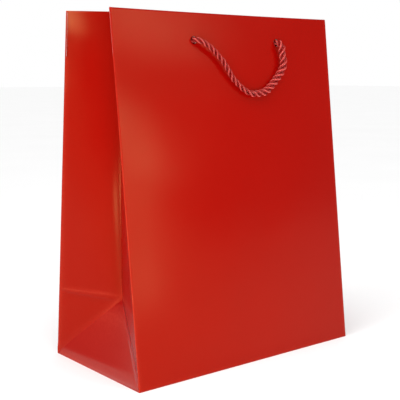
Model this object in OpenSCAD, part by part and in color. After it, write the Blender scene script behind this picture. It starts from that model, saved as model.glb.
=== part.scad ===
// Paper gift bag with folded side gussets, a square bottom and two cord handles.
// The origin is the middle of the bottom, +Z is up, and the front panel faces -Y.
// One folded sheet makes the shell, so its panels are separate nodes that meet at the folds.

/* [Bag] */
// Width of the front and back panels
bag_w = 260; // [220:1:300]
// Depth of the bottom, front to back
bag_d = 140; // [120:1:160]
// Height of the panels, measured along the paper
panel_h = 326; // [300:1:360]
// How far the front panel leans in at the top
front_lean = 38; // [30:1:42]
// How far the back panel leans in at the top
back_lean = 30; // [26:1:38]
// Height of the fold across each gusset, measured along the paper
crease_h = 66; // [60:1:75]
// How much the paper's slack lets the gusset's centre fold lag behind
gusset_slack = 8; // [0:1:12]

/* [Paper and card] */
// Thickness of the paper
paper_t = 0.4; // [0.3:0.05:0.6]
// Depth of the turned-in hem
hem_h = 40; // [30:1:50]
// Thickness of the card inside the hem
card_t = 0.8; // [0.6:0.1:1.2]
// Thickness of the base board
board_t = 1.5; // [1:0.1:2]

/* [Handles] */
// Distance between the two cord holes
hole_gap = 102; // [90:1:120]
// How far the middle of the holes lies to the right, seen from outside
hole_shift = 9; // [0:1:20]
// Distance of the holes below the top edge
hole_drop = 25; // [20:1:28]
// Diameter of the cord holes
hole_d = 7; // [6.8:0.1:8]
// Diameter of the cord
cord_d = 6; // [5:0.1:6.4]
// Diameter of the knots
knot_d = 11; // [9:0.5:12]

/* [Hidden] */

$fn = 48;
half_w = bag_w / 2;
half_d = bag_d / 2;
fold_gap = 0.6;       // room left at each fold between two panels
crease_gap = 5;       // room left at the gusset's centre fold, which is the opened pivot
corner_gap = 3;       // room left round a lower gusset corner
triangle_gap = 4;     // room left round a bottom triangle
flap_inset = 1;       // room between the flaps and the front and back panels
flap_lap = 50;        // how far the front bottom flap passes the middle
rear_lap = 20;        // how far the back bottom flap passes the middle
side_flap = 62;       // length of the left and right bottom flaps
flap_taper = 25;      // how far a side flap narrows at each end of its inner edge
board_gap = 3;        // room between the base board and the walls
fold_air = 0.4;       // air between a panel and the fold of the gusset behind it
fold_in = paper_t + fold_air;  // the gussets' folds lie this far behind the panels' outer faces
hem_side_gap = 9;     // how far the card and the hems stop short of the side edges
card_lift = 3;        // how far the card stays above the hem's lower edge
card_drop = 1;        // how far the card stays below the top edge
tab_w = 18;           // width of the seam tab
tab_inset = 2;        // how far the seam tab stays inside the panel's side edge
tab_drop = 4;         // how far the seam tab stays below the hem
film = 0.02;          // air between two flat sheets that lie on each other
twist_film = 0.15;    // air between a gusset and its hem, which are twisted
cut_depth = 5;        // how far the hole cutters reach on both sides of a panel's outer face
pivot_out = 6;        // how far in front of the paper the cord turns down
stub_air = 0.5;       // air between the stub of cord in the hole and the cord that turns down
stub_end = pivot_out - cord_d / 2 - stub_air;
knot_flat = 1.2;      // how much of the knot is pressed flat on the paper
foot_air = 0.3;       // air between the bottom flaps and the gussets' lowest corners
corner_drop = 1;      // how far a lower gusset corner stays below the fold across
gusset_rows = 10;
hem_rows = 4;

front_angle = asin(front_lean / panel_h);
back_angle = asin(back_lean / panel_h);
flap_top = 3 * paper_t + 2 * film;
fold_foot = flap_top + foot_air;  // where the gussets' lowest corners start

// The handle's route: right of the bag's middle, below the top edge, out from the paper
handle_route = [
    [-42, 25, 6], [-37, 27, 6], [-31, 30, 6], [-25, 34, 6], [-20, 38, 5],
    [-14, 44, 5], [-9, 51, 5], [-3, 59, 4], [3, 65, 4], [11, 71, 4],
    [19, 74, 4], [28, 74, 4], [37, 72, 4], [46, 66, 4], [55, 58, 4],
    [61, 50, 5], [63, 43, 5], [62, 36, 5], [61, 30, 6], [60, 25, 6]
];
cord_sides = 10;

// ---------- points on the folds ----------

function unit(v) = v / norm(v);
function mix(a, b, t) = a + (b - a) * t;

// A point on the left side edge of the front or back panel, at s along the paper
function front_edge(s) = [-half_w, -half_d + s * sin(front_angle), s * cos(front_angle)];
function back_edge(s) = [-half_w, half_d - s * sin(back_angle), s * cos(back_angle)];

// The fold line just behind it, where a gusset half is hinged
function side_fold(is_front, s) =
    is_front ? front_edge(s) + [0, fold_in, 0] : back_edge(s) - [0, fold_in, 0];

// How far the centre fold is tucked in at s, for paper that keeps its width
function half_gap(s) = (back_edge(s)[1] - front_edge(s)[1]) / 2;
function slack(s) = gusset_slack * sin(180 * (s - crease_h) / (panel_h - crease_h));
function tuck(s) = sqrt(pow(half_d, 2) - pow(half_gap(s), 2)) - max(0, slack(s));
function centre_fold(s) = (front_edge(s) + back_edge(s)) / 2 + [tuck(s), 0, 0];
function apex() = centre_fold(crease_h);

// ---------- shared shapes ----------

// A thin sheet through rows of two points, thick on both sides, moved out by shift
module ruled_sheet(rows, thick, shift = 0) {
    last = len(rows) - 1;
    normals = [for (i = [0:last])
        let (a = rows[min(i, last - 1)], b = rows[min(i, last - 1) + 1])
        unit(cross(rows[i][1] - rows[i][0], b[0] - a[0]))];
    points = [for (i = [0:last])
        let (low = normals[i] * (shift - thick / 2), high = normals[i] * (shift + thick / 2))
        each [rows[i][0] + low, rows[i][1] + low, rows[i][1] + high, rows[i][0] + high]];
    // Both broad faces are split along the same diagonal, so that a twisted sheet keeps its thickness
    sides = [for (i = [0:last - 1], k = [0:3])
        let (a = 4 * i + k, b = 4 * i + (k + 1) % 4)
        each (k == 2 ? [[a, a + 4, b], [b, a + 4, b + 4]] : [[a, b + 4, b], [a, a + 4, b + 4]])];
    end = 4 * last;
    caps = [[0, 1, 2], [0, 2, 3], [end, end + 2, end + 1], [end, end + 3, end + 2]];
    polyhedron(points = points, faces = concat(sides, caps));
}

// A flat triangle of paper, drawn in from its corners towards its middle by gap
module paper_triangle(a, b, c, gap) {
    middle = (a + b + c) / 3;
    corners = [for (p = [a, b, c]) p + unit(middle - p) * gap];
    side = unit(cross(corners[1] - corners[0], corners[2] - corners[0])) * paper_t / 2;
    points = concat([for (p = corners) p - side], [for (p = corners) p + side]);
    polyhedron(points = points,
        faces = [[0, 1, 2], [3, 5, 4], [0, 3, 4], [0, 4, 1], [1, 4, 5], [1, 5, 2], [2, 5, 3], [2, 3, 0]]);
}

// Moves a shape drawn flat into the front panel's plane: X right, Y up the paper, Z out of the bag
module on_front() {
    translate([0, -half_d, 0]) rotate([90 - front_angle, 0, 0]) children();
}

module on_back() {
    rotate([0, 0, 180]) translate([0, -half_d, 0]) rotate([90 - back_angle, 0, 0]) children();
}

module cord_holes(depth) {
    for (side = [-1, 1])
        translate([hole_shift + side * hole_gap / 2, panel_h - hole_drop, -depth])
            cylinder(h = 2 * depth, d = hole_d);
}

// A flat layer of a panel, between two heights, lying below the outer face by depth
module panel_layer(width, low, high, depth, thick) {
    translate([-width / 2, low, -depth - thick]) cube([width, high - low, thick]);
}

module wall_sheet() {
    difference() {
        panel_layer(bag_w - 2 * fold_gap, fold_gap, panel_h, 0, paper_t);
        cord_holes(cut_depth);
    }
}

module wall_card() {
    difference() {
        panel_layer(bag_w - 2 * hem_side_gap, panel_h - hem_h + card_lift, panel_h - card_drop,
            paper_t + film, card_t);
        cord_holes(cut_depth);
    }
}

module wall_hem() {
    difference() {
        panel_layer(bag_w - 2 * hem_side_gap, panel_h - hem_h, panel_h, paper_t + 2 * film + card_t, paper_t);
        cord_holes(cut_depth);
    }
}

// A knot inside the bag, with the straight stub of cord through the hole
module wall_knot(side) {
    inner = 2 * paper_t + 3 * film + card_t;
    translate([hole_shift + side * hole_gap / 2, panel_h - hole_drop, 0]) {
        translate([0, 0, -inner - knot_d / 2]) {
            cylinder(h = inner + knot_d / 2 + stub_end, d = cord_d);
            intersection() {
                translate([0, 0, knot_flat]) sphere(d = knot_d);
                translate([0, 0, -knot_d / 2]) cube([2 * knot_d, 2 * knot_d, 2 * knot_d], center = true);
            }
        }
    }
}

// A round tube swept along a route
function tangent(route, i) = unit(route[min(i + 1, len(route) - 1)] - route[max(i - 1, 0)]);

module cord_tube(route, diameter) {
    sides = cord_sides;
    last = len(route) - 1;
    rings = [for (i = [0:last])
        let (t = tangent(route, i), u = unit(cross(t, [0, 0, 1])), v = cross(t, u))
        each [for (k = [0:sides - 1])
            route[i] + (u * cos(360 * k / sides) + v * sin(360 * k / sides)) * diameter / 2]];
    walls = [for (i = [0:last - 1], k = [0:sides - 1])
        let (a = i * sides + k, b = i * sides + (k + 1) % sides)
        each [[a, b, b + sides], [a, b + sides, a + sides]]];
    caps = [[for (k = [sides - 1:-1:0]) k], [for (k = [0:sides - 1]) last * sides + k]];
    polyhedron(points = rings, faces = concat(walls, caps));
}

module handle_loop() {
    route = [for (p = handle_route) [p[0], panel_h - p[1], p[2]]];
    cord_tube(route, cord_d);
}

// ---------- bottom ----------

module base_board() {
    color("lightgray")
        translate([-half_w + board_gap, -half_d + board_gap, flap_top + film])
            cube([bag_w - 2 * board_gap, bag_d - 2 * board_gap, board_t]);
}

module front_bottom_flap() {
    color("firebrick")
        translate([-half_w + fold_gap, -half_d + flap_inset, 0])
            cube([bag_w - 2 * fold_gap, half_d - flap_inset + flap_lap, paper_t]);
}

module back_bottom_flap() {
    color("firebrick")
        translate([-half_w + fold_gap, -rear_lap, paper_t + film])
            cube([bag_w - 2 * fold_gap, half_d - flap_inset + rear_lap, paper_t]);
}

module side_bottom_flap() {
    translate([0, 0, 2 * (paper_t + film)])
        linear_extrude(paper_t)
            polygon([
                [-half_w + fold_gap, -half_d + flap_inset], [-half_w + side_flap, -half_d + flap_taper],
                [-half_w + side_flap, half_d - flap_taper], [-half_w + fold_gap, half_d - flap_inset]
            ]);
}

module left_bottom_flap() {
    color("firebrick") side_bottom_flap();
}

module right_bottom_flap() {
    color("firebrick") mirror([1, 0, 0]) side_bottom_flap();
}

// ---------- front and back walls ----------

module front_panel() {
    color("red") on_front() wall_sheet();
}

module front_hem() {
    color("red") on_front() wall_hem();
}

module front_card() {
    color("lightgray") on_front() wall_card();
}

module front_left_knot() {
    color("crimson") on_front() wall_knot(-1);
}

module front_right_knot() {
    color("crimson") on_front() wall_knot(1);
}

module back_panel() {
    color("red") on_back() wall_sheet();
}

module back_hem() {
    color("red") on_back() wall_hem();
}

module back_card() {
    color("lightgray") on_back() wall_card();
}

// Left and right are those of the bag seen from the front
module back_left_knot() {
    color("crimson") on_back() wall_knot(1);
}

module back_right_knot() {
    color("crimson") on_back() wall_knot(-1);
}

// The glued tab of the sheet's last edge, inside the back panel
module seam_tab() {
    color("white") on_back()
        translate([half_w - tab_w - tab_inset, crease_h, -2 * paper_t - film])
            cube([tab_w, panel_h - hem_h - crease_h - tab_drop, paper_t]);
}

// ---------- gussets ----------

// Heights of the rows, with the same ones where the hem lies on the gusset
hem_heights = [for (i = [0:hem_rows]) mix(panel_h - hem_h, panel_h, i / hem_rows)];
gusset_heights = concat(
    [for (i = [0:gusset_rows - 1]) mix(crease_h, panel_h - hem_h, i / gusset_rows)], hem_heights);

// The rows of a gusset half, from the panel's edge to the centre fold, with room at both ends
function half_rows(is_front, heights, edge_gap, fold_gap_in) = [for (s = heights)
    let (edge = side_fold(is_front, s), fold = centre_fold(s), along = unit(fold - edge))
    [edge + along * edge_gap, fold - along * fold_gap_in]];

module gusset_half(is_front) {
    ruled_sheet(half_rows(is_front, gusset_heights, fold_gap, crease_gap), paper_t);
}

// The hem on the inner face, which the rear half has on the other side of its rows
module gusset_half_hem(is_front) {
    inward = is_front ? 1 : -1;
    ruled_sheet(half_rows(is_front, hem_heights, hem_side_gap, crease_gap), paper_t,
        inward * (paper_t + twist_film));
}

module gusset_corner(is_front) {
    foot = side_fold(is_front, fold_foot);
    edge = side_fold(is_front, crease_h - corner_drop);
    paper_triangle(foot, edge, apex() - [0, 0, corner_drop], corner_gap);
}

module left_front_gusset() {
    color("red") gusset_half(true);
}

module left_front_corner() {
    color("red") gusset_corner(true);
}

module left_front_gusset_hem() {
    color("darkred") gusset_half_hem(true);
}

module left_rear_gusset() {
    color("red") gusset_half(false);
}

module left_rear_corner() {
    color("red") gusset_corner(false);
}

module left_rear_gusset_hem() {
    color("darkred") gusset_half_hem(false);
}

module right_front_gusset() {
    color("red") mirror([1, 0, 0]) gusset_half(true);
}

module right_front_corner() {
    color("red") mirror([1, 0, 0]) gusset_corner(true);
}

module right_front_gusset_hem() {
    color("darkred") mirror([1, 0, 0]) gusset_half_hem(true);
}

module right_rear_gusset() {
    color("red") mirror([1, 0, 0]) gusset_half(false);
}

module right_rear_corner() {
    color("red") mirror([1, 0, 0]) gusset_corner(false);
}

module right_rear_gusset_hem() {
    color("darkred") mirror([1, 0, 0]) gusset_half_hem(false);
}

module bottom_triangle() {
    paper_triangle([-half_w, -half_d, fold_foot], [-half_w, half_d, fold_foot], apex(), triangle_gap);
}

module left_bottom_triangle() {
    color("red") bottom_triangle();
}

module right_bottom_triangle() {
    color("red") mirror([1, 0, 0]) bottom_triangle();
}

// ---------- handles ----------

module front_handle() {
    color("crimson") on_front() handle_loop();
}

module back_handle() {
    color("crimson") on_back() handle_loop();
}

base_board();
front_bottom_flap();
back_bottom_flap();
left_bottom_flap();
right_bottom_flap();
front_panel();
front_hem();
front_card();
front_left_knot();
front_right_knot();
back_panel();
back_hem();
back_card();
back_left_knot();
back_right_knot();
seam_tab();
left_front_gusset();
left_front_corner();
left_front_gusset_hem();
left_rear_gusset();
left_rear_corner();
left_rear_gusset_hem();
right_front_gusset();
right_front_corner();
right_front_gusset_hem();
right_rear_gusset();
right_rear_corner();
right_rear_gusset_hem();
left_bottom_triangle();
right_bottom_triangle();
front_handle();
back_handle();
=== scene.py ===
import math

import bpy
import numpy as np
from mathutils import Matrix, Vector, noise


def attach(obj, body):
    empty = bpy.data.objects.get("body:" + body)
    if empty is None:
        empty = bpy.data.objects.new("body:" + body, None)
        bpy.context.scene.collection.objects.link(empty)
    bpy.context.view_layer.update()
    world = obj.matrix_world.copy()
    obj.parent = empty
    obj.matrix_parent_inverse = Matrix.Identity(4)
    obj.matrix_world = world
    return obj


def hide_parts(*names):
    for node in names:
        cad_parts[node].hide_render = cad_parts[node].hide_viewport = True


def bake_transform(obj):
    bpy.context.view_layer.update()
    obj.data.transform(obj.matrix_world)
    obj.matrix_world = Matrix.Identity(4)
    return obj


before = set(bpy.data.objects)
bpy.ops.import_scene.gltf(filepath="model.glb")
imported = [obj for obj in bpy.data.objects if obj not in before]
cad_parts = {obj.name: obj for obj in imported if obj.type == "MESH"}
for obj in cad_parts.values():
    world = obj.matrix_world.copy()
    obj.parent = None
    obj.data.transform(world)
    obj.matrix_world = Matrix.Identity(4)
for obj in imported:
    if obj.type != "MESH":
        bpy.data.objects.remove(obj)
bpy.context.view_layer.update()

MM = 0.001

# ---------- sizes of the bag, in metres, as in the CAD ----------

HALF_W = 130 * MM
HALF_D = 70 * MM
PANEL_H = 326 * MM
FRONT_ANGLE = math.asin(38 / 326)
BACK_ANGLE = math.asin(30 / 326)
CREASE_H = 66 * MM
FOLD_IN = 0.8 * MM
PAPER = 0.4 * MM
CARD = 0.8 * MM
FILM = 0.03 * MM
HEM_H = 40 * MM
HEM_SIDE_GAP = 9 * MM
CARD_LIFT = 3 * MM
TAB_INSET = 2 * MM
TAB_W = 20 * MM
TAB_DROP = 4 * MM
HOLE_SHIFT = 9 * MM
HOLE_GAP = 102 * MM
HOLE_DROP = 25 * MM
HOLE_R = 3.5 * MM
CORD_D = 6 * MM
KNOT_D = 11 * MM
HEM_DEPTH = 2 * PAPER + CARD + 2 * FILM

# The handle's route in millimetres: right of the bag's middle, below the top edge, out from the paper
HANDLE_ROUTE = [
    (-42, 25, 6), (-37, 27, 6), (-31, 30, 6), (-25, 34, 6), (-20, 38, 5),
    (-14, 44, 5), (-9, 51, 5), (-3, 59, 4), (3, 65, 4), (11, 71, 4),
    (19, 74, 4), (28, 74, 4), (37, 72, 4), (46, 66, 4), (55, 58, 4),
    (61, 50, 5), (63, 43, 5), (62, 36, 5), (61, 30, 6), (60, 25, 6),
]

# Material slots of a sheet of paper: its laminated face and its bare back
RED = 0
WHITE = 1


# ---------- camera ----------

def make_camera():
    data = bpy.data.cameras.new("camera")
    data.lens = 77.5
    data.sensor_width = 36
    camera = bpy.data.objects.new("camera", data)
    camera.location = (-0.530, -0.6475, 0.266)
    camera.rotation_euler = (math.radians(90 - 8.13), 0, math.radians(-38.88))
    bpy.context.collection.objects.link(camera)
    bpy.context.scene.camera = camera


make_camera()


# ---------- where the paper is ----------

def wall_point(is_front, x, s, depth):
    """A point on a wall: x to the right seen from the front, s up the paper, depth into the bag."""
    angle = FRONT_ANGLE if is_front else BACK_ANGLE
    y = -HALF_D + s * math.sin(angle) + depth * math.cos(angle)
    return Vector((x, y if is_front else -y, s * math.cos(angle) - depth * math.sin(angle)))


MOUTH_BOW = 2.5 * MM     # how far the middle of a wall bows in at the mouth, and from what part of its height
MOUTH_FROM = 0.55
BELLY_BOW = 2.0 * MM     # how far it bows out lower down, and up to what part of its height
BELLY_TO = 0.8
WALL_RIPPLE = 0.25 * MM  # how far its uneven ripple stands out or in
RIPPLE_SEED = 3.1


def bow(x, s):
    """How far the paper of a wall lies behind its flat plane."""
    across = 1 - (x / HALF_W) ** 2
    up = s / PANEL_H
    mouth = MOUTH_BOW * max(0, (up - MOUTH_FROM) / (1 - MOUTH_FROM)) ** 1.5
    belly = BELLY_BOW * math.sin(math.pi * min(1, up / BELLY_TO))
    ripple = WALL_RIPPLE * noise.noise(Vector((x * 22, s * 14, RIPPLE_SEED))) * min(1, up * 6)
    return across * (mouth - belly + ripple)


def round_over(distance, radius):
    """How deep a surface lies at this distance from a rounded edge."""
    if distance >= radius:
        return 0
    return radius - math.sqrt(radius ** 2 - (radius - distance) ** 2)


def side_fold(is_front, side, s):
    """The fold between a wall and a gusset, just behind the wall's outer face."""
    point = wall_point(is_front, side * HALF_W, s, 0)
    point.y += FOLD_IN if is_front else -FOLD_IN
    return point


GUSSET_SLACK = 12 * MM   # how far the middle of the centre fold lags behind, more than in the CAD
APEX_DIP = 3.6 * MM      # how far the middle of the crease across hangs below its ends


def centre_fold(side, s):
    """The gusset's centre fold, tucked in so far that the paper keeps its width, less its slack."""
    front = wall_point(True, side * HALF_W, s, 0)
    back = wall_point(False, side * HALF_W, s, 0)
    half_gap = (back.y - front.y) / 2
    lag = GUSSET_SLACK * math.sin(math.pi * (s - CREASE_H) / (PANEL_H - CREASE_H))
    tuck = math.sqrt(HALF_D ** 2 - half_gap ** 2) - max(0, lag)
    dip = APEX_DIP * min(1, (PANEL_H - s) / (PANEL_H - CREASE_H))
    return (front + back) / 2 - Vector((side * tuck, 0, dip))


def inner_fold(is_front, side, s):
    """Where a gusset half ends: on the diagonal fold below the crease across, on the centre fold above it."""
    if s >= CREASE_H:
        return centre_fold(side, s)
    return side_fold(is_front, side, 0).lerp(centre_fold(side, CREASE_H), s / CREASE_H)


BULGE = 3 * MM           # how far a gusset half bows outward
ROLL = 1.3 * MM          # how far it rolls over just before the centre fold
GUSSET_RIPPLE = 0.4 * MM
RIDGE = 0.7 * MM         # how far the crease across stands out, and how high it reaches above and below
RIDGE_ABOVE = 7 * MM
RIDGE_BELOW = 2.5 * MM
FILLET = 1.7 * MM        # how far the diagonal folds are filled in, and how wide
FILLET_W = 11 * MM
DIAGONAL_SINE = CREASE_H / math.hypot(CREASE_H, HALF_D)
LIP_AIR = 0.15 * MM      # air between a fold's inner lip and the sheet in front of it


def ridge(s):
    """The crease across swells slowly out of the paper above it and drops off quickly below it."""
    if s >= CREASE_H:
        return RIDGE * math.exp(-(s - CREASE_H) / RIDGE_ABOVE)
    return RIDGE * math.exp(-((CREASE_H - s) / RIDGE_BELOW) ** 2)


def fillet(distance, up):
    """How far the paper fills in the soft diagonal fold, at this distance from it and part of its length."""
    ends = min(1, up * 8) * (1 - min(1, up) ** 4)
    return FILLET * max(0, 1 - distance / FILLET_W) ** 2 * ends


def diagonal_normal(is_front, side):
    """Outward, halfway between the bottom triangle and the lower corner of a gusset half."""
    foot = side_fold(is_front, side, 0)
    up = side_fold(is_front, side, CREASE_H) - foot
    diagonal = centre_fold(side, CREASE_H) - foot
    corner = up.cross(diagonal).normalized()
    triangle = Vector((0, 1, 0)).cross(diagonal).normalized()
    for normal in (corner, triangle):
        if normal.x * side < 0:
            normal.negate()
    return (corner + triangle).normalized()


def gusset_point(is_front, side, u, s, depth):
    """A point on a gusset half: u from the wall's edge to the centre fold, s up the paper."""
    if u > 1:
        lip = min(1, max(0, s / CREASE_H - 1) * 8)
        return gusset_point(not is_front, side, 1 - (u - 1) * lip, s, depth + (PAPER + LIP_AIR) * lip)
    edge = side_fold(is_front, side, s)
    fold = inner_fold(is_front, side, s)
    across = fold - edge
    up = side_fold(is_front, side, s + MM) - edge
    normal = across.cross(up).normalized()
    if normal.x * side < 0:
        normal.negate()
    over = min(1, max(0, (s - CREASE_H) / (PANEL_H - CREASE_H)))
    bulge = BULGE * math.sin(math.pi * u ** 1.2) * math.sin(math.pi * over ** 0.7)
    bulge += ROLL * math.sin(math.pi * u ** 5) * min(1, over * 16)
    middle = min(1, 6 * u * (1 - u))
    ripple = GUSSET_RIPPLE * noise.noise(Vector((u * 2.2, s * 16, 7 * side + is_front))) * 4 * u * (1 - u)
    lift = bulge + ridge(s) * middle + ripple * min(1, s / CREASE_H)
    point = edge.lerp(fold, u) + normal * (lift - depth)
    if s < CREASE_H:
        distance = (1 - u) * across.length * DIAGONAL_SINE
        point += diagonal_normal(is_front, side) * fillet(distance, s / CREASE_H)
    return point


# ---------- mesh helpers ----------

SHARP_ANGLE = math.radians(40)
WEAR_AND_HIGHLIGHT_W = 1.1 * MM        # how far a fold's paleness reaches, partly rubbed paper and partly a painted highlight


def new_object(name, points, faces, marks=None):
    mesh = bpy.data.meshes.new(name)
    mesh.from_pydata([tuple(p) for p in points], [], faces)
    mesh.validate()
    if marks:
        mesh.polygons.foreach_set("material_index", marks[:len(mesh.polygons)])
    mesh.polygons.foreach_set("use_smooth", [True] * len(mesh.polygons))
    obj = bpy.data.objects.new(name, mesh)
    bpy.context.collection.objects.link(obj)
    return obj


def profile_sheet(name, profile, across, place, end_mark=RED):
    """A closed sheet: the profile of (s, depth, material) runs round it, and place() gives each point."""
    points = [place(a, s, depth) for a in across for s, depth, _ in profile]
    size = len(profile)
    faces = []
    marks = []
    for i in range(len(across) - 1):
        for k in range(size):
            after = (k + 1) % size
            faces.append((i * size + k, i * size + after, (i + 1) * size + after, (i + 1) * size + k))
            marks.append(profile[k][2])
    last = (len(across) - 1) * size
    faces.append(tuple(range(size - 1, -1, -1)))
    faces.append(tuple(range(last, last + size)))
    marks += [end_mark, end_mark]
    obj = new_object(name, points, faces, marks)
    fix_normals(obj)
    mark_sharp(obj)
    return obj


def fix_normals(obj):
    bpy.context.view_layer.objects.active = obj
    obj.select_set(True)
    bpy.ops.object.mode_set(mode="EDIT")
    bpy.ops.mesh.select_all(action="SELECT")
    bpy.ops.mesh.normals_make_consistent(inside=False)
    bpy.ops.object.mode_set(mode="OBJECT")
    obj.select_set(False)


def mark_sharp(obj):
    bpy.context.view_layer.objects.active = obj
    obj.select_set(True)
    bpy.ops.object.shade_smooth_by_angle(angle=SHARP_ANGLE)
    obj.select_set(False)


def steps(low, high, size):
    count = max(1, round((high - low) / size))
    return [low + (high - low) * i / count for i in range(count + 1)]


def mark_folds(obj, fold_distance):
    """Stores how near each point is to a fold, from 1 on it to 0 away from it, for the rubbed look and the
    painted highlight along folds.
    """
    values = []
    for vertex in obj.data.vertices:
        values.append(math.exp(-max(0, fold_distance(vertex.co)) / WEAR_AND_HIGHLIGHT_W))
    attribute = obj.data.attributes.new("fold", "FLOAT", "POINT")
    attribute.data.foreach_set("value", values)


# ---------- materials ----------

# Sockets of a Mix node that mixes colours
MIX_FACTOR, MIX_A, MIX_B = 0, 6, 7
MIX_RESULT = 2


def material(name):
    made = bpy.data.materials.new(name)
    made.use_nodes = True
    shader = made.node_tree.nodes["Principled BSDF"]
    return made, made.node_tree, shader


def node(tree, kind, **settings):
    made = tree.nodes.new(kind)
    for key, value in settings.items():
        made.inputs[key].default_value = value
    return made


def noise_node(tree, scale, detail=3.0, roughness=0.5):
    place = tree.nodes.new("ShaderNodeTexCoord")
    made = node(tree, "ShaderNodeTexNoise", Scale=scale, Detail=detail, Roughness=roughness)
    tree.links.new(place.outputs["Object"], made.inputs["Vector"])
    return made


def colour_by(tree, factor, low, high, start=0.3, end=0.7):
    ramp = tree.nodes.new("ShaderNodeValToRGB")
    ramp.color_ramp.elements[0].position = start
    ramp.color_ramp.elements[1].position = end
    ramp.color_ramp.elements[0].color = (*low, 1)
    ramp.color_ramp.elements[1].color = (*high, 1)
    tree.links.new(factor, ramp.inputs["Fac"])
    return ramp.outputs["Color"]


def mix_with(tree, factor, base, colour):
    """Mixes the colour into what the base socket gives, by the factor."""
    mix = tree.nodes.new("ShaderNodeMix")
    mix.data_type = "RGBA"
    mix.inputs[MIX_B].default_value = (*colour, 1)
    tree.links.new(factor, mix.inputs[MIX_FACTOR])
    tree.links.new(base, mix.inputs[MIX_A])
    return mix.outputs[MIX_RESULT]


def attribute(tree, name):
    made = tree.nodes.new("ShaderNodeAttribute")
    made.attribute_name = name
    return made.outputs["Fac"]


def value_by(tree, factor, low, high):
    scale = tree.nodes.new("ShaderNodeMapRange")
    scale.inputs["To Min"].default_value = low
    scale.inputs["To Max"].default_value = high
    tree.links.new(factor, scale.inputs["Value"])
    return scale.outputs["Result"]


def add_bumps(tree, shader, bumps):
    """bumps is a list of (height socket, strength, distance in metres), from broad to fine."""
    before = None
    for height, strength, distance in bumps:
        made = node(tree, "ShaderNodeBump", Strength=strength, Distance=distance)
        tree.links.new(height, made.inputs["Height"])
        if before:
            tree.links.new(before, made.inputs["Normal"])
        before = made.outputs["Normal"]
    tree.links.new(before, shader.inputs["Normal"])


def make_red_paper():
    """Gloss-laminated red paper: even colour, faint orange peel, paler along its folds, partly rubbed and
    partly a painted highlight.
    """
    made, tree, shader = material("red_laminated_paper")
    cloud = noise_node(tree, 9, 4)
    base = colour_by(tree, cloud.outputs["Fac"], (0.308, 0.0012, 0.0006), (0.324, 0.0018, 0.0009))
    grain = noise_node(tree, 420, 5, 0.6)
    wear_and_highlight = tree.nodes.new("ShaderNodeMath")
    wear_and_highlight.operation = "MULTIPLY"
    tree.links.new(attribute(tree, "fold"), wear_and_highlight.inputs[0])
    tree.links.new(value_by(tree, grain.outputs["Fac"], 0.0, 0.6), wear_and_highlight.inputs[1])
    # Folds are painted paler: mottled rubbing, and a painted highlight along the fold lines.
    worn_and_highlit = mix_with(tree, wear_and_highlight.outputs[0], base, (0.58, 0.05, 0.028))
    tree.links.new(worn_and_highlit, shader.inputs["Base Color"])
    smear = noise_node(tree, 30, 4)
    tree.links.new(value_by(tree, smear.outputs["Fac"], 0.15, 0.21), shader.inputs["Roughness"])
    shader.inputs["IOR"].default_value = 1.25
    shader.inputs["Specular IOR Level"].default_value = 0.77
    shader.inputs["Specular Tint"].default_value = (1.0, 0.60, 0.22, 1)
    peel = noise_node(tree, 55, 3)
    fine = noise_node(tree, 700, 4, 0.6)
    add_bumps(tree, shader, [(peel.outputs["Fac"], 0.10, 0.0006), (fine.outputs["Fac"], 0.05, 0.0002)])
    return made


def make_white_paper():
    """The uncoated back of the paper, with its fibres."""
    made, tree, shader = material("uncoated_paper_back")
    fibre = noise_node(tree, 260, 8, 0.7)
    cloud = colour_by(tree, fibre.outputs["Fac"], (0.70, 0.685, 0.65), (0.84, 0.83, 0.80))
    tree.links.new(cloud, shader.inputs["Base Color"])
    shader.inputs["Roughness"].default_value = 0.85
    fine = noise_node(tree, 1400, 4, 0.6)
    add_bumps(tree, shader, [(fibre.outputs["Fac"], 0.25, 0.0003), (fine.outputs["Fac"], 0.2, 0.0002)])
    return made


def make_card(name, low, high, speck):
    """Board made of recycled fibre, with specks of it."""
    made, tree, shader = material(name)
    fibre = noise_node(tree, 180, 8, 0.7)
    cloud = colour_by(tree, fibre.outputs["Fac"], low, high)
    specks = noise_node(tree, 900, 2)
    mask = colour_by(tree, specks.outputs["Fac"], (0, 0, 0), (1, 1, 1), 0.66, 0.70)
    tree.links.new(mix_with(tree, mask, cloud, speck), shader.inputs["Base Color"])
    shader.inputs["Roughness"].default_value = 0.9
    add_bumps(tree, shader, [(fibre.outputs["Fac"], 0.35, 0.0004), (specks.outputs["Fac"], 0.2, 0.0002)])
    return made


def make_yarn():
    """Shiny red yarn: fine filaments run along each strand, and a pale pink highlight is painted on the
    rope's outermost ridges.
    """
    made, tree, shader = material("red_satin_yarn")
    place = tree.nodes.new("ShaderNodeUVMap")
    place.uv_map = "strand"
    stripe = node(tree, "ShaderNodeTexWave", Scale=2.2, Distortion=1.2, Detail=2.0)
    stripe.bands_direction = "X"
    tree.links.new(place.outputs["UV"], stripe.inputs["Vector"])
    base = colour_by(tree, stripe.outputs["Fac"], (0.16, 0.002, 0.002), (0.36, 0.008, 0.007), 0.1, 0.9)
    # Painted glint: the yarn turns pale pink on the rope's outermost ridges, however the light falls.
    mask = colour_by(tree, attribute(tree, "painted_glint"), (0, 0, 0), (1, 1, 1), 0.88, 1.0)
    tree.links.new(mix_with(tree, mask, base, (0.88, 0.13, 0.11)), shader.inputs["Base Color"])
    shader.inputs["Roughness"].default_value = 0.16
    shader.inputs["Specular IOR Level"].default_value = 0.7
    shader.inputs["Specular Tint"].default_value = (1.0, 0.42, 0.38, 1)
    fuzz = noise_node(tree, 1500, 3)
    add_bumps(tree, shader, [(stripe.outputs["Fac"], 0.5, 0.00015), (fuzz.outputs["Fac"], 0.25, 0.0001)])
    return made


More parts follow.
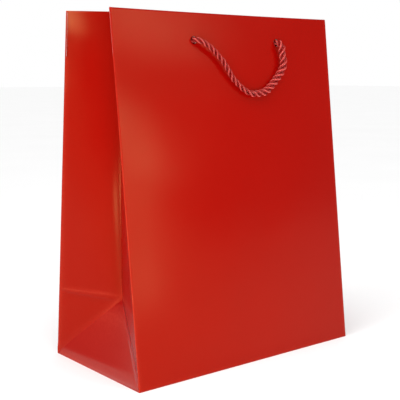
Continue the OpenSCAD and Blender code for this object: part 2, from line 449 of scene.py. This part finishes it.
RED_PAPER = make_red_paper()
WHITE_PAPER = make_white_paper()
GREY_CARD = make_card("grey_reinforcement_card", (0.40, 0.385, 0.35), (0.52, 0.50, 0.46), (0.25, 0.23, 0.2))
BASE_CARD = make_card("white_lined_board", (0.70, 0.69, 0.66), (0.80, 0.79, 0.77), (0.55, 0.53, 0.5))
RED_YARN = make_yarn()


def finish_paper(obj, body, slot, *nodes):
    """Gives a sheet its two materials; its slot is not used, and a sheet given no body is left without one.
    """
    obj.data.materials.append(RED_PAPER)
    obj.data.materials.append(WHITE_PAPER)
    if nodes:
        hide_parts(*nodes)
    if body:
        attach(obj, body)
    return obj


# ---------- cords ----------

def smooth_route(points, per_span=10):
    """A Catmull-Rom curve through the points."""
    padded = [2 * points[0] - points[1]] + list(points) + [2 * points[-1] - points[-2]]
    path = []
    for i in range(1, len(padded) - 2):
        a, b, c, d = padded[i - 1:i + 3]
        for k in range(per_span):
            t = k / per_span
            path.append(0.5 * ((2 * b) + (c - a) * t + (2 * a - 5 * b + 4 * c - d) * t ** 2
                               + (3 * b - a - 3 * c + d) * t ** 3))
    path.append(padded[-2])
    return path


def even_path(path, step):
    """The same path with its points an even step apart."""
    lengths = [0]
    for a, b in zip(path, path[1:]):
        lengths.append(lengths[-1] + (b - a).length)
    count = max(2, round(lengths[-1] / step))
    array = np.array([tuple(p) for p in path])
    wanted = np.linspace(0, lengths[-1], count + 1)
    columns = [np.interp(wanted, lengths, array[:, k]) for k in range(3)]
    return [Vector(p) for p in zip(*columns)], lengths[-1]


def frames_along(path, start_side):
    """A side and an up direction at each point of the path, carried along without twist."""
    side = start_side
    result = []
    for i in range(len(path)):
        tangent = (path[min(i + 1, len(path) - 1)] - path[max(i - 1, 0)]).normalized()
        side = (side - tangent * side.dot(tangent)).normalized()
        result.append((side, tangent.cross(side)))
    return result


def tube_faces(begin, rings, sides):
    faces = []
    for i in range(rings - 1):
        for k in range(sides):
            after = (k + 1) % sides
            a = begin + i * sides
            faces.append((a + k, a + after, a + sides + after, a + sides + k))
    last = begin + (rings - 1) * sides
    faces.append(tuple(begin + k for k in range(sides - 1, -1, -1)))
    faces.append(tuple(last + k for k in range(sides)))
    return faces


PLIES = 3
YARNS_PER_PLY = 6
YARN_SIDES = 6
YARN_TURNS = 3.4                        # turns of the yarns in a ply for each turn of the rope, the other way
YARN_SWELL = 1.08                       # yarns press into each other, and the core fills its ply
CORE_SWELL = 1.3
PLY_R = 0.5 / (1 + 2 / math.sqrt(3))    # radius of one of three plies that touch, in a rope of diameter 1
PLY_OUT = 0.5 - PLY_R                   # distance of its middle from the rope's
YARN_R = PLY_R / 3


def rope(name, path, start_side, pitch, section):
    """Three twisted plies of yarns; section(part) gives the rope's width, thickness and roll there."""
    rings = frames_along(path, start_side)
    step = (path[1] - path[0]).length
    points = []
    faces = []
    uvs = []
    painted_glint_levels = []
    for strand in range(PLIES * (YARNS_PER_PLY + 1)):
        ply, yarn = divmod(strand, YARNS_PER_PLY + 1)
        core = yarn == YARNS_PER_PLY
        begin = len(points)
        for i, (side, up) in enumerate(rings):
            width, thickness, roll = section(i / (len(rings) - 1))
            run = 2 * math.pi * i * step / pitch
            ply_angle = run + 2 * math.pi * ply / PLIES
            yarn_angle = ply_angle - YARN_TURNS * run + 2 * math.pi * yarn / YARNS_PER_PLY
            out = 0 if core else 2 * YARN_R
            middle_a = PLY_OUT * math.cos(ply_angle) + out * math.cos(yarn_angle)
            middle_b = PLY_OUT * math.sin(ply_angle) + out * math.sin(yarn_angle)
            radius = YARN_R * (CORE_SWELL if core else YARN_SWELL)
            for k in range(YARN_SIDES):
                around = 2 * math.pi * k / YARN_SIDES
                a = middle_a + radius * math.cos(around)
                b = middle_b + radius * math.sin(around)
                # How far out on the rope this point lies; the outermost points get the painted glint.
                painted_glint_levels.append(2 * math.hypot(a, b))
                a *= width
                b *= thickness
                points.append(path[i] + side * (a * math.cos(roll) - b * math.sin(roll))
                              + up * (a * math.sin(roll) + b * math.cos(roll)))
        faces += tube_faces(begin, len(rings), YARN_SIDES)
        for i in range(len(rings) - 1):
            low, high = i * step / CORD_D, (i + 1) * step / CORD_D
            for k in range(YARN_SIDES):
                left, right = k / YARN_SIDES, (k + 1) / YARN_SIDES
                uvs += [(left, low), (right, low), (right, high), (left, high)]
        uvs += [(0, 0)] * (2 * YARN_SIDES)
    obj = new_object(name, points, faces)
    # These values place the painted glint.
    painted_glint = obj.data.attributes.new("painted_glint", "FLOAT", "POINT")
    painted_glint.data.foreach_set("value", painted_glint_levels)
    layer = obj.data.uv_layers.new(name="strand")
    layer.data.foreach_set("uv", [c for uv in uvs for c in uv])
    obj.data.materials.append(RED_YARN)
    return obj


ROPE_STEP = 0.6 * MM
ROPE_PITCH = 19 * MM
ROPE_TIGHT = (5.0 * MM, 4.8 * MM)    # width and thickness where it is tight, and where it is loose
ROPE_LOOSE = (7.4 * MM, 4.2 * MM)
LOOSE_FROM = 0.42        # part of the handle's length where it starts to loosen, and over which it does
LOOSE_OVER = 0.20
LAST_PART = 1 / 14       # the last part of the handle, where the hole draws it tight again
HOLE_OUT = 3.2 * MM      # how far the cord comes straight out of its hole
HOLD_LENGTH = 16 * MM    # how far below the holes the cord still follows the wall


def hole_x(side):
    return HOLE_SHIFT + side * HOLE_GAP / 2


def cord_point(is_front, x, drop, out):
    """A point off a wall, seen from outside, so that the back one is turned round; out is from the paper."""
    across = x if is_front else -x
    s = PANEL_H - drop
    return wall_point(is_front, across, s, bow(x, s) - out)


def handle_section(part):
    """The rope is tight in its first leg, and loose and flattened in its second."""
    turned = min(1, max(0, (part - LOOSE_FROM) / LOOSE_OVER))
    turned = turned * turned * (3 - 2 * turned)
    end = max(0, 1 - (1 - part) / LAST_PART)
    loose = turned * (1 - end)
    width, thickness = (a + (b - a) * loose for a, b in zip(ROPE_TIGHT, ROPE_LOOSE))
    return width, thickness, math.pi / 2 * (1 - turned)


KNOT_ROPE = (ROPE_TIGHT[1] * 0.9, ROPE_TIGHT[1] * 0.8)    # the rope's width and thickness in a knot
KNOT_REACH = 4.6         # the knot's half width over the size of its curve
KNOT_TURNS = 48
TAIL_ROUTE = [(0, 0, 0), (0.5, 4, 1), (-0.6, 8, 1.5), (0.4, 13, 1)]    # millimetres across, down and in


def knot_section(_):
    return *KNOT_ROPE, 0


def make_handle(is_front):
    name = "front" if is_front else "back"
    route = [tuple(c * MM for c in p) for p in HANDLE_ROUTE]
    ends = []
    for side in (-1, 1):
        ends.append([(hole_x(side), HOLE_DROP, out) for out in (-HEM_DEPTH, 0, HOLE_OUT)])
    points = ends[0] + route[1:-1] + ends[1][::-1]
    path = smooth_route([cord_point(is_front, *p) for p in points])
    path, length = even_path(path, ROPE_STEP)
    first_leg = (cord_point(is_front, *route[6]) - cord_point(is_front, *route[2])).normalized()
    outward = cord_point(is_front, 0, 0, MM) - cord_point(is_front, 0, 0, 0)
    start_side = first_leg.cross(outward).normalized()
    cord = rope(f"{name}_handle_cord", path, start_side, ROPE_PITCH, handle_section)
    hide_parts(f"{name}_handle")
    start = cord_point(is_front, 0, HOLE_DROP, 0)
    end = cord_point(is_front, 0, HOLE_DROP + HOLD_LENGTH, 0)
    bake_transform(cord)
    cord_point(is_front, hole_x(-1), HOLE_DROP, 0)


def make_knot(is_front, side):
    """An overhand knot, drawn tight on the hem, with its cut tail hanging down."""
    wall = "front" if is_front else "back"
    seen = side if is_front else -side
    name = f"{wall}_{'left' if seen < 0 else 'right'}_knot"
    x = hole_x(side)
    size = KNOT_D / 2 / KNOT_REACH
    middle_in = HEM_DEPTH + KNOT_ROPE[0] * 0.95

    def place(a, b, c):
        return cord_point(is_front, x + a, HOLE_DROP + b, -middle_in - c)

    turns = [2 * math.pi * i / KNOT_TURNS for i in range(KNOT_TURNS - 1)]
    loop = [place(size * (math.sin(t) + 2 * math.sin(2 * t)), size * (math.cos(t) - 2 * math.cos(2 * t)),
                  -size * 1.3 * math.sin(3 * t)) for t in turns]
    path, _ = even_path(smooth_route(loop, 3), ROPE_STEP)
    lean = Vector((0, 1 if is_front else -1, 0.3)).normalized()
    knot = rope(name + "_tie", path, lean, ROPE_PITCH, knot_section)
    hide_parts(name)
    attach(knot, f"{wall}_wall")
    tail = [place(a * MM, b * MM, c * MM) for a, b, c in TAIL_ROUTE]
    path, _ = even_path(smooth_route(tail, 6), ROPE_STEP)
    end = rope(name + "_tail", path, lean, ROPE_PITCH, knot_section)
    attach(end, f"{wall}_wall")


for is_front in (True, False):
    make_handle(is_front)
for is_front in (True, False):
    for side in (-1, 1):
        make_knot(is_front, side)


# ---------- walls ----------

EDGE_R = 0.8 * MM        # radius of the folds at a wall's edges
EDGE_STEPS = [e * MM for e in (0, 0.06, 0.2, 0.42, 0.8, 1.6, 4)]    # finest at the edge itself
WALL_STEP = 5 * MM
EDGE_BAND = 9 * MM       # how much of a wall beside its edges the finer steps take up
HEM_TURNS = 8            # steps round the hem's top edge
POCKET_DROP = 1.4 * MM   # how far below the top edge the hem's pocket for the card ends
CARD_DROP = 1.6 * MM


def across_wall():
    left = [-HALF_W + e for e in EDGE_STEPS]
    middle = steps(-HALF_W + EDGE_BAND, HALF_W - EDGE_BAND, WALL_STEP)
    return left + middle + [-x for x in reversed(left)]


def wall_profile():
    """Up the outside, over the top edge, down the hem, up into its pocket and down the inside."""
    radius = HEM_DEPTH / 2
    hem_low = PANEL_H - HEM_H
    hem = steps(hem_low, PANEL_H - radius - 0.5 * MM, WALL_STEP)
    outer = EDGE_STEPS + steps(8 * MM, hem_low - 3 * MM, 6 * MM) + hem
    profile = [(s, 0, RED) for s in outer]
    for i in range(HEM_TURNS + 1):
        turn = math.pi * i / HEM_TURNS
        profile.append((PANEL_H - radius + radius * math.sin(turn), radius - radius * math.cos(turn), RED))
    profile += [(s, HEM_DEPTH, RED) for s in reversed(hem[1:])]
    pocket = PANEL_H - POCKET_DROP
    profile += [(hem_low, HEM_DEPTH, WHITE), (hem_low, HEM_DEPTH - PAPER, WHITE)]
    profile += [(pocket, HEM_DEPTH - PAPER, WHITE), (pocket, PAPER, WHITE)]
    profile += [(s, PAPER, WHITE) for s in reversed(outer) if 0.5 * MM < s < pocket - MM]
    return profile


def place_on_wall(is_front):
    def place(x, s, depth):
        from_side = HALF_W - abs(x)
        curve = max(round_over(from_side, EDGE_R), round_over(s, EDGE_R))
        inset = min(depth, EDGE_R) if from_side < 0.5 * MM else 0
        x_in = math.copysign(abs(x) - inset, x)
        return wall_point(is_front, x_in, s, depth + curve + bow(x, s))
    return place


CUTTER_L = 24 * MM


def cut_holes(obj, is_front):
    """Cuts the two cord holes through a wall's sheet or its card."""
    for side in (-1, 1):
        middle = cord_point(is_front, hole_x(side), HOLE_DROP, 0)
        normal = cord_point(is_front, hole_x(side), HOLE_DROP, 10 * MM) - middle
        turn = normal.to_track_quat("Z", "Y").to_euler()
        bpy.ops.mesh.primitive_cylinder_add(vertices=40, radius=HOLE_R, depth=CUTTER_L, location=middle,
                                            rotation=turn)
        cutter = bpy.context.object
        cut = obj.modifiers.new("hole", "BOOLEAN")
        cut.operation = "DIFFERENCE"
        cut.solver = "EXACT"
        cut.object = cutter
        bpy.context.view_layer.objects.active = obj
        bpy.ops.object.modifier_apply(modifier=cut.name)
        bpy.data.objects.remove(cutter)


def layer_profile(low_s, high_s, low_depth, high_depth, mark, size=6 * MM):
    heights = steps(low_s, high_s, size)
    return [(s, low_depth, mark) for s in heights] + [(s, high_depth, mark) for s in reversed(heights)]


def make_wall(is_front):
    """A wall with its hem in one sheet, and the card inside the hem."""
    wall = "front" if is_front else "back"
    sheet = profile_sheet(f"{wall}_wall_sheet", wall_profile(), across_wall(), place_on_wall(is_front))
    mark_folds(sheet, lambda p: min(HALF_W - abs(p.x), p.z + PAPER))
    cut_holes(sheet, is_front)
    finish_paper(sheet, f"{wall}_wall", "red_laminate", f"{wall}_panel", f"{wall}_hem")
    low = PAPER + FILM / 2
    card_x = HALF_W - HEM_SIDE_GAP
    profile = layer_profile(PANEL_H - HEM_H + CARD_LIFT, PANEL_H - CARD_DROP, low, low + CARD, RED)
    card = profile_sheet(f"{wall}_hem_card", profile, steps(-card_x, card_x, 6 * MM), place_on_wall(is_front))
    cut_holes(card, is_front)
    card.data.materials.append(GREY_CARD)
    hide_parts(f"{wall}_card")
    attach(card, f"{wall}_wall")


def make_seam_tab():
    """The sheet's last edge, glued inside the back wall."""
    low = PAPER + FILM
    profile = layer_profile(CREASE_H, PANEL_H - HEM_H - TAB_DROP, low, low + PAPER, WHITE)
    across = steps(-HALF_W + TAB_INSET, -HALF_W + TAB_W, 6 * MM)
    tab = profile_sheet("seam_tab_sheet", profile, across, place_on_wall(False), WHITE)
    finish_paper(tab, "back_wall", "seam_paper", "seam_tab")


# ---------- gussets ----------

LIP = 5 * MM             # how far a centre fold's inner lip reaches past the fold
PLEAT = 1.25 * MM        # how far a bottom triangle's hidden pleat reaches past its folds
PLEAT_AIR = 1.2 * MM     # room for a gusset's foot to sink in front of that pleat
HEM_AIR = 0.1 * MM       # air between a gusset and its hem, and how far the hem stays below the top edge
HEM_FOLD_GAP = 1.2 * MM  # how far a gusset's hem stops short of the centre fold


def gusset_profile():
    """Up the outside and down the inside, with its steps closest at the crease across."""
    below = steps(0.5 * MM, CREASE_H - 4 * MM, 3 * MM)
    near = steps(CREASE_H - 3 * MM, CREASE_H + 3 * MM, 0.75 * MM)
    above = steps(CREASE_H + 6 * MM, PANEL_H, 6 * MM)
    heights = below + near + above
    return [(s, 0, RED) for s in heights] + [(s, PAPER, WHITE) for s in reversed(heights)]


def make_gusset_half(is_front, side):
    """Half a gusset in one sheet from bottom to top, which turns smoothly from its wall to its own fold."""
    name = f"{'left' if side < 0 else 'right'}_{'front' if is_front else 'rear'}"
    across = [0, 0.01, 0.03, 0.06] + steps(0.1, 0.8, 0.06) + steps(0.83, 1, 0.02)
    if is_front:
        across += steps(1 + 0.3 * LIP / HALF_D, 1 + LIP / HALF_D, 0.02)

    def place(u, s, depth):
        return gusset_point(is_front, side, u, s, depth)

    def place_hem(x, s, depth):
        width = (inner_fold(is_front, side, s) - side_fold(is_front, side, s)).length
        low = HEM_SIDE_GAP / width
        high = 1 - HEM_FOLD_GAP / width
        return place(low + (high - low) * x, s, depth)

    def fold_distance(p):
        nearest = min(abs(p.z - CREASE_H), HALF_W - abs(p.x))
        s = p.z / math.cos(FRONT_ANGLE)
        return min(nearest, abs((p - inner_fold(is_front, side, max(0, s))).x))

    sheet = profile_sheet(f"{name}_gusset_sheet", gusset_profile(), across, place)
    mark_folds(sheet, fold_distance)
    low = PAPER + HEM_AIR
    hem_profile = layer_profile(PANEL_H - HEM_H, PANEL_H - HEM_AIR, low, low + PAPER, RED)
    hem = profile_sheet(f"{name}_gusset_hem_sheet", hem_profile, steps(0, 1, 0.08), place_hem, WHITE)
    finish_paper(sheet, None, "red_laminate", f"{name}_gusset", f"{name}_corner")
    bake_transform(sheet)
    finish_paper(hem, None, "hem_laminate", f"{name}_gusset_hem")
    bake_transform(hem)


def make_bottom_triangle(side):
    """The triangle that leans in from the bottom's short edge, with a hidden pleat along its two folds."""
    name = "left" if side < 0 else "right"
    apex = centre_fold(side, CREASE_H)
    feet = [side_fold(is_front, side, 0) for is_front in (True, False)]
    normal = (feet[1] - feet[0]).cross(apex - feet[0]).normalized()
    if normal.x * side < 0:
        normal.negate()

    def place_with(margin):
        def place(u, t, depth):
            low = feet[0].lerp(feet[1], u)
            point = low.lerp(apex, t)
            point.y += margin * (2 * u - 1)
            point -= normal * depth
            for is_front, part in ((True, u), (False, 1 - u)):
                distance = part * (1 - t) * 2 * HALF_D * DIAGONAL_SINE
                point += diagonal_normal(is_front, side) * fillet(distance, t)
            return point
        return place

    heights = steps(0, 0.99, 0.05)
    outer = [(t, 0, RED) for t in heights] + [(t, PAPER, WHITE) for t in reversed(heights)]
    sheet = profile_sheet(f"{name}_bottom_triangle_sheet", outer, steps(0, 1, 0.025), place_with(0))
    mark_folds(sheet, lambda p: p.z)
    finish_paper(sheet, f"{name}_bottom_fold", "red_laminate", f"{name}_bottom_triangle")
    low = PAPER + PLEAT_AIR
    inner = [(t, low, RED) for t in heights] + [(t, low + PAPER, WHITE) for t in reversed(heights)]
    pleat = profile_sheet(f"{name}_bottom_pleat", inner, steps(0, 1, 0.05), place_with(PLEAT))
    finish_paper(pleat, f"{name}_bottom_fold", "red_laminate")


for is_front in (True, False):
    make_wall(is_front)
make_seam_tab()
for side in (-1, 1):
    make_bottom_triangle(side)
    for is_front in (True, False):
        make_gusset_half(is_front, side)


# ---------- bottom, kept from the CAD ----------

def paint_node(name, made):
    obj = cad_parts[name]
    obj.data.materials.clear()
    obj.data.materials.append(made)


paint_node("base_board", BASE_CARD)
for flap in ("front_bottom_flap", "back_bottom_flap", "left_bottom_flap", "right_bottom_flap"):
    paint_node(flap, RED_PAPER)


# ---------- studio ----------

FLOOR_W = 40.0


def make_floor():
    made, tree, shader = material("pale_floor")
    cloud = noise_node(tree, 3, 2)
    tree.links.new(colour_by(tree, cloud.outputs["Fac"], (0.95, 0.95, 0.95), (0.97, 0.97, 0.97)),
                   shader.inputs["Base Color"])
    shader.inputs["Roughness"].default_value = 0.6
    half = FLOOR_W / 2
    corners = [(-half, -half, 0), (half, -half, 0), (half, half, 0), (-half, half, 0)]
    floor = new_object("floor", corners, [(0, 1, 2, 3)])
    floor.data.materials.append(made)


def add_light(name, kind, place, target, power):
    data = bpy.data.lights.new(name, kind)
    data.energy = power
    lamp = bpy.data.objects.new(name, data)
    lamp.location = place
    lamp.rotation_euler = (Vector(target) - Vector(place)).to_track_quat("-Z", "Y").to_euler()
    lamp.visible_camera = False
    bpy.context.collection.objects.link(lamp)
    return data


def soft_box(name, place, target, size, power):
    data = add_light(name, "AREA", place, target, power)
    data.shape = "RECTANGLE"
    data.size, data.size_y = size
    return data


def make_world():
    """A dim even room, which the camera sees as a white backdrop."""
    world = bpy.data.worlds.new("studio")
    world.use_nodes = True
    tree = world.node_tree
    room = tree.nodes["Background"]
    room.inputs["Color"].default_value = (1, 1, 1, 1)
    room.inputs["Strength"].default_value = 0.30
    backdrop = node(tree, "ShaderNodeBackground", Color=(1, 1, 1, 1), Strength=1.0)
    path = tree.nodes.new("ShaderNodeLightPath")
    mix = tree.nodes.new("ShaderNodeMixShader")
    tree.links.new(path.outputs["Is Camera Ray"], mix.inputs["Fac"])
    tree.links.new(room.outputs["Background"], mix.inputs[1])
    tree.links.new(backdrop.outputs["Background"], mix.inputs[2])
    tree.links.new(mix.outputs["Shader"], tree.nodes["World Output"].inputs["Surface"])
    bpy.context.scene.world = world


def make_light():
    """A wide overhead light, a key at the front left, boxes for the gloss to mirror, and a gusset fill."""
    overhead = add_light("overhead", "SUN", (-0.3, -0.35, 1.5), (0, 0, 0), 2.65)
    overhead.angle = math.radians(70)
    key = soft_box("key", (-0.44, -0.62, 0.14), (-0.03, -0.05, 0.16), (0.26, 0.34), 0.50)
    key.spread = math.radians(70)
    soft_box("mirrored_strip", (0.385, -0.9, 0.22), (-0.1, -0.05, 0.15), (0.09, 0.46), 0.50)
    soft_box("mirrored_strip_top", (0.46, -0.9, 0.355), (-0.1, -0.05, 0.25), (0.08, 0.17), 0.20)
    soft_box("mirrored_box", (0.59, -0.9, 0.62), (-0.1, -0.05, 0.30), (0.20, 0.14), 0.36)
    soft_box("gusset_strip", (-0.756, -0.42, 0.09), (-0.1, 0, 0.10), (0.20, 0.11), 0.38)
    soft_box("gusset_fill", (-0.90, -0.08, 0.75), (-0.12, 0, 0.15), (0.40, 0.30), 2.9)
    bpy.context.scene.view_settings.view_transform = "Standard"


make_floor()
make_world()
make_light()
